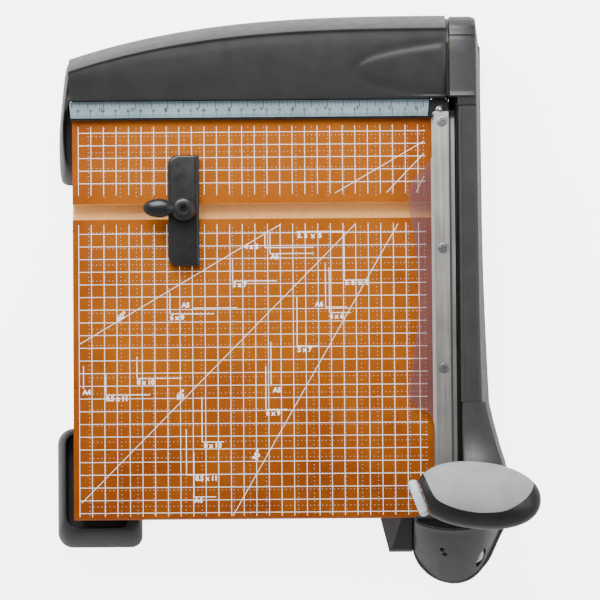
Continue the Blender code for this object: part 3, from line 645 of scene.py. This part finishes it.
def ruler():
    """Inches along the rear edge and centimetres along the front, both from the cut edge."""
    bevel(NODES["ruler_strip"], 0.25, 2)
    bevel(NODES["fence_bar"], 0.5, 2)
    marks = Print(RULER_HIGH[2])
    left, right = RULER_LOW[0] + 1.0, RULER_HIGH[0] - 0.8
    rear, front = RULER_HIGH[1] - 0.35, RULER_LOW[1] + 0.35
    lengths = ((16, 5.4), (8, 5.0), (4, 3.6), (2, 2.5), (1, 1.8))
    for k in range(16 * 12 + 1):
        x = CUT_X - INCH * k / 16
        length = next(reach for every, reach in lengths if k % every == 0)
        if left < x < right:
            marks.stroke((x, rear), (x, rear - length), 0.42 if k % 8 else 0.62)
        if k % 16 == 0 and left + 3 < x < right:
            marks.words(str(k // 16), x - 0.8, rear - 7.2, 3.6, 0.0, 0.14, "RIGHT")
    for k in range(306):
        x = CUT_X - k
        length = 4.2 if k % 10 == 0 else 3.0 if k % 5 == 0 else 2.2
        if left < x < right:
            marks.stroke((x, front), (x, front + length), 0.3 if k % 10 else 0.55)
        if k % 10 == 0 and left + 2 < x < right:
            marks.words(str(k // 10), x, front + 4.5, 2.6, 0.0, 0.14, "CENTER")
    marks.words("cm", right - 9.0, front + 4.4, 3.0, 90.0, 0.12)
    finish_mesh(marks.bm, "ruler_print", "dark_ink", "frame")


# ---- Rear head ----

NOSE_TIP, NOSE_MIDDLE, NOSE_HALF = 51.0, 180.0, 19.5
HEAD_REAR_FOOT, HEAD_FRONT_FOOT = 12.3, 44.5


def head_rear(x):
    """Where the head's rear face is, which sweeps forward to the left as a cubic."""
    return HEAD_HIGH[1] - 33.0 * ((HEAD_HIGH[0] - x) / (HEAD_HIGH[0] - HEAD_LOW[0])) ** 3


def nose_depth(x, y):
    """How far inside the bullet-shaped relief a place is, in mm; negative outside it."""
    if x <= NOSE_TIP - 12:
        return -12.0
    half = NOSE_HALF * (max(x - NOSE_TIP, 0.0) / (HEAD_HIGH[0] - NOSE_TIP)) ** 0.42
    return min(half - abs(y - NOSE_MIDDLE), (x - NOSE_TIP) * 0.8)


def head_relief(x, y):
    """The nose stands up inside a soft valley."""
    depth = nose_depth(x, y)
    rise = min(max((depth + 0.8) / 6.0, 0.0), 1.0)
    return 0.55 * rise * rise * (3 - 2 * rise) - 0.75 * math.exp(-((depth + 1.8) / 3.4) ** 2)


def head_line(x):
    """The head's outer line at x, from its front foot over the top to its rear foot."""
    rear = head_rear(x)
    front, crease = HEAD_LOW[1], rear - 17.8
    run = crease - front
    brow, crown = 55.8, 11.6              # the front brow's height, and how far the top rises above it
    line = [(front + 0.3, HEAD_FRONT_FOOT), (front + 0.05, 46.5), (front, 53.0), (front + 0.35, 54.6),
            (front + 1.4, brow)]
    steps = 44
    for i in range(1, steps):
        t = i / steps
        y = front + 1.4 + (run - 2.2) * t
        z = brow + crown * math.sin(t * math.pi / 2) ** 0.92
        fade = min(max((x + 165.0) / 60.0, 0.0), 1.0)
        ledge = crease - y
        z -= 0.2 * fade / (1 + math.exp(-(6.6 - ledge) / 1.1))
        line.append((y, z + head_relief(x, y)))
    line += [(crease - 1.5, line[-1][1] + 0.1), (crease - 0.7, line[-1][1] + 0.5), (crease - 0.2, 68.8),
             (crease + 0.4, 68.95), (crease + 1.3, 68.1)]
    fall = smooth_line([(crease + 1.3, 68.1), (crease + 6.5, 58.5), (rear - 5.0, 42.0), (rear - 1.6, 27.0),
                        (rear, 13.5)], 6)[1:]
    return line + fall + [(rear - 0.1, HEAD_REAR_FOOT)]


def head():
    """The rear housing, with end walls, and a soft crease along the top of its rear slope."""
    stations = 120
    left, right = HEAD_LOW[0], HEAD_HIGH[0]
    bm = bmesh.new()
    rows = []
    for i in range(stations + 1):
        x = left + (right - left) * i / stations
        edge = min(x - left, right - x)
        pull = 0.9 * max(0.0, 1.0 - edge / 1.6) ** 2
        line = head_line(x)
        rows.append([bm.verts.new((x, y, z - (pull if z > 46 else 0.0))) for y, z in line])
    for first, second in zip(rows, rows[1:]):
        bridge(bm, first, second, False)
    step = BOARD_HIGH[1] + 1.5
    for row in (rows[0], rows[-1]):
        x = row[0].co.x
        corner = [bm.verts.new((x, step, z)) for z in (HEAD_REAR_FOOT, HEAD_FRONT_FOOT)]
        bm.faces.new(row + corner)
    piece = finish_mesh(bm, "head_shell", "housing", "frame", "rear_head_cover", 24.0)
    wall = piece.modifiers.new("wall", "SOLIDIFY")
    wall.thickness, wall.offset = 2.2 * MM, -1.0


# ---- Feet and pod ----


def base_rail():
    """The rail under the cutting edge, with a lip turned out below the blade."""
    low, high = span("right_base_rail")
    right, foot, top = high[0], low[2], high[2]
    ring = [(low[0], foot), (131.0, foot), (131.5, foot + 0.5), (131.5, foot + 1.9), (131.0, foot + 2.4),
            (right + 0.8, foot + 2.4), (right, foot + 3.2), (right, top - 0.6), (right - 0.6, top),
            (low[0] + 0.6, top), (low[0], top - 0.6)]
    rail = lengthwise(ring, (low[1], low[1] + 1, 0.0, high[1] - 1, high[1]))
    piece = finish_mesh(rail, "base_rail", "housing", "frame", "right_base_rail")
    tail = [(116.0, foot + 0.1), (131.0, foot + 0.1), (131.4, foot + 0.6), (131.4, foot + 1.8),
            (131.0, foot + 2.3), (116.0, foot + 2.3)]
    carve(piece, lengthwise(tail, (140.0, 154.0, 155.0)), operation="UNION")


def front_foot():
    """The front left foot: a skirt that leans in, broad in front, with a rolled rim round a deep recess."""
    left, right, front, rear = FOOT_LOW[0], FOOT_HIGH[0], FOOT_LOW[1], FOOT_HIGH[1]
    sections = []
    for side, face, back, z in ((0.5, 0.5, 0.5, 3.0), (0, 0, 0, 4.2), (0.1, 0.3, 0.1, 6.0),
                                (0.8, 2.2, 0.4, 11.0), (1.8, 5.0, 0.9, 15.5), (3.2, 8.2, 1.5, 19.0),
                                (4.5, 10.6, 2.2, 20.9), (5.6, 12.4, 3.0, 21.9), (6.5, 13.9, 7.0, 22.0),
                                (7.1, 14.6, 11.6, 21.4), (7.5, 15.2, 12.4, 19.0), (7.7, 15.5, 12.8, 12.0),
                                (8.4, 16.3, 13.4, 6.5)):
        ring = rounded(left + side, right - back, front + face, rear - min(back, 5.0),
                       (12.5 - side * 0.5, 9.0 - back * 0.3, 8.0 - back * 0.3, 13.0 - side * 0.5), 12)
        sections.append([(x, y, z) for x, y in ring])
    piece = finish_mesh(loft(sections), "foot_front_left", "housing", "frame", "front_left_foot", 50.0)
    pedestal = block((-172, -170, 5), (-132, -108, BOARD_LOW[2] - 0.3))
    carve(piece, pedestal, operation="UNION")


def cheek():
    """The rear left foot, whose flange swells out beside the board and runs up behind the head's corner."""
    outer = smooth_line([(-179.6, 195.4), (-182.6, 185.3), (-185.5, 159.4), (-187.4, 136.3), (-187.2, 113.1),
                         (-185.8, 100.4), (-182.4, 96.4), (-176.0, 95.3)], 10)
    rim = smooth_line([(-179.1, 182.0), (-180.6, 170.0), (-182.4, 155.0), (-183.9, 141.0), (-183.6, 126.0),
                       (-182.2, 113.5), (-180.2, 108.8), (-176.0, 107.6)], 10)
    sections = []
    for t, shrink, z in ((0.02, 0.4, 3.0), (0.0, 0.0, 4.2), (0.08, 0.0, 9.0), (0.25, 0.0, 15.0),
                         (0.5, 0.0, 21.0), (0.75, 0.0, 24.9), (0.92, 0.0, 26.6), (1.0, 0.2, 26.9),
                         (1.0, 0.7, 26.4), (1.0, 1.0, 24.0), (1.0, 1.4, 7.0)):
        ring = []
        for i, ((a, b), (c, d)) in enumerate(zip(outer, rim)):
            ring.append((a + (c - a) * t + shrink, b + (d - b) * t + shrink * (2 * i / len(rim) - 1), z))
        right = -152.0 - 1.5 * shrink
        sections.append(ring + [(right, ring[-1][1] + 0.1, z), (right, ring[0][1] - 1.0, z)])
    piece = finish_mesh(loft(sections), "foot_rear_left", "housing", "frame", "rear_left_foot", 50.0)
    carve(piece, block((HEAD_LOW[0] - 0.3, 156, -1), (-140, 210, 60)))


def bracket():
    """The moulded gusset beside the pod: a leaning left facet that meets a front slope in a soft ridge."""
    low, high = span("front_right_bracket")
    top, foot = high[2], low[2]
    base = [(67.0, -150.0), (67.0, -174.0), (73.6, -200.2), (92.2, -200.2), (92.2, -175.0), (93.5, -174.9),
            (93.5, -150.0)]
    ridge = [(82.7, -150.0, top), (82.7, -176.7, top), (74.8, -198.8, 9.0), (92.2, -198.8, 9.0),
             (92.2, -176.7, top), (93.5, -174.9, top), (93.5, -150.0, top)]
    bm = loft([[(x, y, foot) for x, y in base], [(x, y, foot + 2.0) for x, y in base], ridge])
    bevel(finish_mesh(bm, "gusset", "housing", "frame", "front_right_bracket", 30.0), 0.7, 3, 25)


# The pod's base and the foot of its shell, from the back left corner round the front to the back right.
BASE_LINE = ((92.3, -175.4), (92.3, -188.0), (92.3, -199.0), (96.0, -208.7), (100.8, -214.9),
             (106.5, -219.8), (114.6, -223.9), (124.9, -225.8), (134.5, -224.2), (142.2, -219.9),
             (148.2, -213.6), (153.8, -206.2), (158.0, -197.6), (162.4, -188.1), (166.0, -181.0),
             (167.4, -175.5))
SHELL_LINE = ((92.6, -175.4), (92.6, -187.0), (93.0, -197.5), (96.8, -206.6), (101.6, -213.0),
              (107.2, -218.4), (114.8, -222.8), (124.5, -224.5), (132.8, -223.1), (139.4, -219.6),
              (145.0, -214.8), (149.6, -208.6), (153.7, -200.6), (157.8, -191.8), (161.1, -183.8),
              (163.2, -175.5))
SLOT_CENTRE, SLOT_RUN, SLOT_OUT = (146.4, -206.6, 22.9), (0.257, 0.622, 0.740), (0.688, -0.655, 0.312)


def drawn_in(points, sideways, forward, inset=0.0):
    """A pod outline drawn in toward the middle of its back, or by a wall's thickness."""
    back, line = BASE_HIGH[1], smooth_line(points, 6)
    ring = [(125.0 + (x - 125.0) * sideways, back + (y - back) * forward) for x, y in line]
    if not inset:
        return ring
    moved = []
    for i, (x, y) in enumerate(ring):
        (a, b), (c, d) = ring[max(i - 1, 0)], ring[min(i + 1, len(ring) - 1)]
        run = math.hypot(c - a, d - b)
        moved.append((x - (d - b) / run * inset, min(y + (c - a) / run * inset, back - inset)))
    return moved


def shell_ring(t, inset=0.0):
    """The pod shell's outline at a fraction of its height."""
    return drawn_in(SHELL_LINE, 1 - 0.03 * t, 1 - 0.737 * t + 0.05 * math.sin(math.pi * t), inset)


def pod():
    """The sloping pod with its dished top, its socket and wheel slit, standing on its base."""
    steps, low, high = 16, POD_LOW[2], POD_HIGH[2]
    sections = [[(x, y, low + (high - 1.2 - low) * i / steps) for x, y in shell_ring(i / steps)]
                for i in range(steps + 1)]
    for inset, drop in ((0.5, 0.2), (1.3, 0.0), (2.4, 0.5), (2.8, 4.5)):
        sections.append([(x, y, high - drop) for x, y in shell_ring(1.0, inset)])
    inner = [[(x, y, low + (high - 7.5 - low) * i / steps) for x, y in shell_ring(i / steps * 0.86, 2.4)]
             for i in range(steps, -1, -1)]
    bm = loft(sections, False)
    rows, count = list(bm.verts), len(sections[0])
    bm.faces.new(rows[-count:])
    inside = [[bm.verts.new(point) for point in section] for section in inner]
    bm.faces.new(inside[0])
    for first, second in zip(inside, inside[1:]):
        bridge(bm, first, second)
    bridge(bm, inside[-1], rows[:count])
    piece = finish_mesh(bm, "pod_body", "housing", "frame", "pod_shell")
    run, out = Vector(SLOT_RUN), Vector(SLOT_OUT)
    seat = Matrix.Translation(SLOT_CENTRE) @ Matrix((run, out.cross(run), out)).transposed().to_4x4()
    half = [(11.4 - 0.95 * i, 4.6 * (1 - (1 - i / 12) ** 2)) for i in range(24)]
    leaf = upright(half + [(-x, -y) for x, y in half], (-6.0, 4.0))
    leaf.transform(seat)
    holes = [rod((x, -226.0, z), 1.9, 30.0, -math.pi / 2) for x, z in ((115.0, 42.0), (117.2, 38.0))]
    carve(piece, leaf, *holes)
    base = ring_loft(lambda inset: drawn_in(BASE_LINE, 1 - inset / 38, 1 - inset / 50),
                     ((0.0, 3.0), (0.1, 3.4), (0.0, 5.6), (0.3, 6.8), (0.9, 7.7), (2.0, 8.0)))
    finish_mesh(base, "pod_foot", "housing", "frame", "pod_base")


def wheel():
    """The adjusting wheel, with ribs round its rim."""
    radius, ribs, depth = 11.5, 40, 0.6
    sections = []
    for z, shrink in ((-2.2, 0.6), (-1.7, 0.0), (1.7, 0.0), (2.2, 0.6)):
        ring = []
        for i in range(ribs * 4):
            angle = 2 * math.pi * i / (ribs * 4)
            reach = radius - shrink - (0.0 if i % 4 in (0, 1) else depth)
            ring.append((reach * math.cos(angle), reach * math.sin(angle), z))
        sections.append(ring)
    bm = loft(sections)
    joint = JOINTS["laser_wheel_turn"]
    turn = Vector(joint["axis"]).to_track_quat("Z", "Y").to_matrix().to_4x4()
    bm.transform(Matrix.Translation(Vector(joint["pos_m"]) / MM) @ turn)
    finish_mesh(bm, "adjusting_wheel", "pale", "wheel", "laser_wheel", 30.0)


# ---- Arm ----


def arm():
    """The long cover: a top with a thin rib on its left, and a flank that leans outward."""
    rows = ((ARM_HIGH[1], 145.5, 149.4), (106.0, 145.5, 149.4), (34.0, 145.8, 149.9), (-29.0, 146.3, 151.6),
            (ARM_LOW[1], 147.4, 153.9))
    sections = []
    for y, top_right, low_right in smooth_line(rows, 6):
        outer = [(130.9, 59.5), (130.9, 65.0), (131.2, 65.7), (131.8, 66.0), (132.9, 66.0), (133.4, 65.8),
                 (133.7, 65.2), (134.3, 65.0), (top_right - 3.0, 65.7), (top_right - 1.2, 65.6),
                 (top_right - 0.3, 65.0), (top_right + 0.2, 63.8)]
        outer += [(top_right + 0.2 + (low_right - top_right - 0.2) * t, 63.8 - 30.0 * t)
                  for t in (0.1, 0.3, 0.55, 0.8, 0.97, 1.0)]
        inner = [(low_right - 0.6, 33.0), (low_right - 2.2, 33.2), (low_right - 2.5, 34.0),
                 (top_right - 2.4, 62.6), (133.0, 62.6), (133.0, 59.5)]
        sections.append([(x, y, z) for x, z in outer + inner])
    finish_mesh(loft(sections), "arm_shell", "housing", "blade_arm", "arm_cover", 50.0)


def hub():
    """The cover over the hinge: stepped bands round its rear, and a ridge before its sloping lip."""
    reach = 27.0
    centre = (HUB_HIGH[1] - reach, 40.0)
    bands = [(a, reach - 1.1) for a in range(-100, 36, 4)]
    bands += [(37.2, reach - 1.1), (38.6, reach - 0.7), (39.4, reach), (46.0, reach), (52.0, reach),
              (54.6, reach - 0.1), (55.8, reach - 0.45), (62.0, reach - 0.5), (68.0, reach - 0.5),
              (71.6, reach - 0.55), (72.6, reach - 1.7), (76.0, reach - 1.9), (79.4, reach - 1.7),
              (80.6, reach - 0.55), (84.0, reach - 0.5)]
    over = [(192.0, 66.45), (180.0, 66.4), (170.0, 66.3), (162.0, 66.3), (159.4, 66.4), (158.6, 66.9),
            (157.9, 67.0), (157.3, 66.6), (156.8, 65.5), (153.0, 64.9), (150.6, 64.4), (HUB_LOW[1], 63.6)]
    left, right = HUB_LOW[0], HUB_HIGH[0]
    sections = []
    for x, drop in ((left, 1.2), (left + 0.5, 0.35), (left + 1.4, 0.0), (141.0, 0.0), (143.0, 0.0),
                    (144.4, 0.1), (145.0, 0.4), (145.4, 1.1), (145.9, 5.0), (146.9, 13.0), (147.9, 21.0),
                    (right - 0.3, 30.0), (right, 31.0)):
        pull = min(0.35 * max(x - 141.0, 0.0) + drop, 25.5)
        ring = []
        for angle, radius in bands:
            run = max(radius - pull, 0.6)
            ring.append((x, centre[0] + run * math.cos(math.radians(angle)),
                         centre[1] + run * math.sin(math.radians(angle))))
        lip = [(x, HUB_LOW[1], 31.0), (x, 171.0, 22.6)]
        sections.append(ring + [(x, y, z - drop) for y, z in over] + lip)
    piece = finish_mesh(loft(sections), "hub_shell", "housing", "blade_arm", "arm_head_cover", 32.0)
    hollow = arc(centre, 24.0, -100, 80, 40) + [(149.0, 62.0), (149.0, 33.6), (171.0, 24.8)]
    room = loft([[(x, y, z) for y, z in hollow] for x in (left - 2, 142.6)])
    step = block((left - 1, HUB_LOW[1] - 1, 36), (130.3, 157.2, 80))
    carve(piece, room, step)


def stem():
    """The arm's front end, which widens to the right and rises to carry the grip."""
    rows = ((-86.3, 131.6, 153.8, 66.0), (-92.0, 131.5, 155.0, 66.0), (-100.0, 131.4, 156.8, 66.2),
            (-112.0, 131.4, 159.9, 66.8), (-124.0, 131.6, 163.2, 69.0), (-136.0, 132.0, 166.6, 73.0),
            (-150.0, 132.0, 166.6, 75.4), (-164.0, 132.0, 163.0, 76.0), (-173.5, 132.0, 159.8, 76.0))
    sections = []
    for y, left, right, high in smooth_line(rows, 4):
        ring = [(left, 46.5), (left, high - 3.0), (left + 0.6, high - 1.0), (left + 2.4, high),
                (right - 6.0, high), (right - 4.2, high - 0.8), (right - 3.4, high - 2.4),
                (right - 1.2, 56.0), (right, 47.5), (right - 1.0, 46.2), (left + 1.0, 46.0)]
        sections.append([(x, y, z) for x, z in ring])
    piece = finish_mesh(loft(sections), "stem_shell", "housing", "blade_arm", "handle_stem", 50.0)
    carve(piece, block((131.0, -129.0, 45.0), (139.2, -80.0, 63.5)))


# ---- Grip ----


def seated(place, tilt, turn):
    """A place in mm, tipped about X and turned about Z in degrees."""
    return Matrix.Translation(place) @ Euler((math.radians(tilt), 0, math.radians(turn))).to_matrix().to_4x4()


GRIP_HALF = (49.5, 27.3, 15.9)
GRIP_SEAT = seated((142.9, -162.4, 91.5), -14.0, -6.5)
LEVER_SEAT = seated((95.8, -163.8, 85.0), -14.0, 20.5)
# The pad's outline on the grip, from its left end round the front to its right end.
PAD_LINE = ((-47.0, 19.0), (-45.5, 13.2), (-39.4, -0.2), (-31.9, -10.7), (-18.5, -16.2), (-3.6, -18.3),
            (10.1, -17.4), (23.5, -13.9), (34.6, -5.5), (41.0, 4.0), (43.2, 16.1), (43.8, 24.0))


def grip_form(shrink=0.0):
    """The grip's oval, a little fuller than an ellipsoid, in its place."""
    bm = bmesh.new()
    bmesh.ops.create_uvsphere(bm, u_segments=144, v_segments=72, radius=1.0)
    for vertex in bm.verts:
        x, y, z = vertex.co
        ring = math.hypot(x, y)
        if ring > 1e-6:
            full = 1.0 / (abs(x / ring) ** 2.2 + abs(y / ring) ** 2.2) ** (1 / 2.2)
            x, y = x * full, y * full
        vertex.co = (x * (GRIP_HALF[0] - shrink), y * (GRIP_HALF[1] - shrink), z * (GRIP_HALF[2] - shrink))
    bm.transform(GRIP_SEAT)
    return bm


def pad_prism(inset, floor):
    """What lies over the pad's outline, above a level through the grip."""
    line = [(x * (1 - inset / 45), y + inset) for x, y in smooth_line(PAD_LINE, 8)]
    ring = line + [(50.0, 34.0), (-52.0, 34.0)]
    prism = upright(ring, (floor, 24.0))
    prism.transform(GRIP_SEAT)
    return prism


def grip():
    """The dark grip body, and the pale pad that crowns it and runs over its rear edge."""
    body = finish_mesh(grip_form(), "grip_shell", "black", "blade_arm", "grip_body")
    room = upright(rounded(-4.0, 7.0, -16.4, 16.4, (2, 2, 2, 2)), (-6.0, 8.0))
    reach = upright(rounded(-16.0, 4.5, -17.2, 17.2, (1, 1, 1, 1)), (-3.0, 34.0))
    for tool in (room, reach):
        tool.transform(LEVER_SEAT)
    well = block((131.0, -176.0, 60.0), (167.5, -130.0, 76.6))
    carve(body, pad_prism(0.0, 1.5), room, reach, well)
    bevel(body, 0.5, 3, 50)
    pad = finish_mesh(grip_form(0.05), "grip_cap", "pad", "blade_arm", "grip_pad")
    carve(pad, pad_prism(0.25, 1.8), operation="INTERSECT")
    bevel(pad, 0.5, 3, 50)


def lever():
    """A softly crowned paddle."""

    def outline(inset):
        return rounded(-3.5 + inset, 4.2 - inset, -14.8 + inset, 14.8 - inset, [3.4 - inset] * 4)

    bm = ring_loft(outline, ((1.4, -5.0), (0.5, -4.5), (0.0, -3.0), (0.0, 3.2), (0.4, 4.4), (1.2, 5.0)))
    bm.transform(LEVER_SEAT)
    finish_mesh(bm, "release_paddle", "pale", "lever", "release_lever", 60.0)


# ---- Guard, guide and fasteners ----


def cross_head(name, centre, radius, node):
    """A countersunk screw with a cross recess, in place of a CAD node."""
    bm = spun([(0, 0), (radius * 0.86, 0), (radius * 0.97, -0.12), (radius, -0.35), (radius * 0.5, -2.3),
               (radius * 0.48, -14.0), (0, -14.0)], centre)
    piece = finish_mesh(bm, name, "zinc", "frame", node, 35.0)
    slots = []
    for turn in (25.0, 115.0):
        slot = block((-radius * 0.56, -0.42, -1.1), (radius * 0.56, 0.42, 0.5))
        slot.transform(Matrix.Translation(centre) @ Matrix.Rotation(math.radians(turn), 4, "Z"))
        slots.append(slot)
    carve(piece, *slots)


def guard():
    """The guard sheet and bar keep their CAD form with eased edges; the screws get real heads."""
    bevel(NODES["finger_guard"], 0.35, 2)
    bevel(NODES["guard_bar"], 0.5, 3)
    bevel(NODES["bed_knife"], 0.25, 2)
    for index in range(1, 5):
        node = f"guard_screw_{index}"
        low, high = span(node)
        centre = ((low[0] + high[0]) / 2, (low[1] + high[1]) / 2, high[2] + 0.02)
        cross_head(f"guard_screw_head_{index}", centre, (high[0] - low[0]) / 2, node)
    bolt = spun([(0, 4.6), (1.4, 4.4), (2.4, 3.6), (2.75, 2.4), (2.75, 0.4), (3.6, 0.0), (3.6, -0.6),
                 (0, -0.6)], (BAR_LOW[0] + 5.2, KNIFE_HIGH[1] + 1.4, TOP + 5.0))
    finish_mesh(bolt, "guard_rear_bolt", "zinc", "frame")
    pin = spun([(0, 2.0), (0.9, 1.7), (1.5, 0.8), (1.6, -1.0), (1.6, -7.0), (0, -7.0)],
               (KNIFE_LOW[0] + 1.8, KNIFE_HIGH[1] - 1.8, TOP + 7.0), 32)
    finish_mesh(pin, "guard_rear_pin", "zinc", "frame")


def guide():
    """The sliding guide with a bevelled long edge, and its clamp knob with a wing."""
    left, right, front, rear = RAIL_LOW[0], RAIL_HIGH[0], RAIL_LOW[1], RAIL_HIGH[1]
    low, high = RAIL_LOW[2], RAIL_HIGH[2]
    middle = (front + rear) / 2

    def outline(inset):
        return rounded(left + inset, right - inset, front + inset, rear - inset, (8, 0.8, 0.8, 8), 10)

    levels = [(0.5, low), (0.0, low + 0.5), (0.0, high - 1.6), (0.3, high - 0.8), (1.0, high - 0.15),
              (1.8, high)]
    piece = finish_mesh(ring_loft(outline, levels), "guide_bar", "black", "guide", "guide_rail")
    groove = block((right - 3.6, front - 2, high - 0.7), (right - 2.6, rear + 2, high + 1))
    carve(piece, rod(((left + right) / 2, middle, low - 2), 3.5, 14.0), groove)
    radius = 9.8
    x, y, z = KNOB_HIGH[0] - radius, middle, KNOB_LOW[2]
    hub_profile = [(0, 8.0), (3.1, 8.0), (3.4, 9.0), (4.2, 9.6), (6.4, 9.6), (8.2, 9.0), (9.3, 7.6),
                   (radius, 5.6), (radius, 1.0), (9.4, 0.2), (9.0, 0.0), (3.4, 0.0), (3.4, 3.6), (0, 3.6)]
    knob = finish_mesh(spun(hub_profile, (x, y, z), 72), "clamp_hub", "black", "knob", "clamp_knob", 35.0)
    wing = bmesh.new()
    bmesh.ops.create_uvsphere(wing, u_segments=64, v_segments=32, radius=1.0)
    for vertex in wing.verts:
        vx, vy, vz = vertex.co
        vertex.co = (x - 18.9 + vx * 13.1, y + 1.0 + vy * (7.6 - 1.2 * max(vx, 0.0)), z + 6.6 + vz * 5.3)
    carve(knob, wing, operation="UNION")
    sides = [(x + 2.6 * math.cos(math.pi * i / 3), y + 2.6 * math.sin(math.pi * i / 3)) for i in range(6)]
    carve(knob, upright(sides, (z + 5.0, z + 12.0)))


def plain_nodes():
    """Every CAD node that stays in view gets its slot's finish, and softened edges where it is a box."""
    for name, node in NODES.items():
        node.data.materials.clear()
        node.data.materials.append(LOOK[{"blade": "blade", "bed_knife": "knife"}.get(name, SLOT_OF[name])])
        node.data.set_sharp_from_angle(angle=math.radians(30))
    for name in ("rear_crossbar", "rear_right_foot", "stop_post", "hinge_block", "pivot_plate",
                 "stop_bumper", "pivot_bracket", "arm_spine", "guide_nut"):
        bevel(NODES[name], 0.8, 3)


plain_nodes()
studio()
board()
ruler()
head()
front_foot()
cheek()
base_rail()
bracket()
pod()
wheel()
arm()
hub()
stem()
grip()
lever()
guard()
guide()
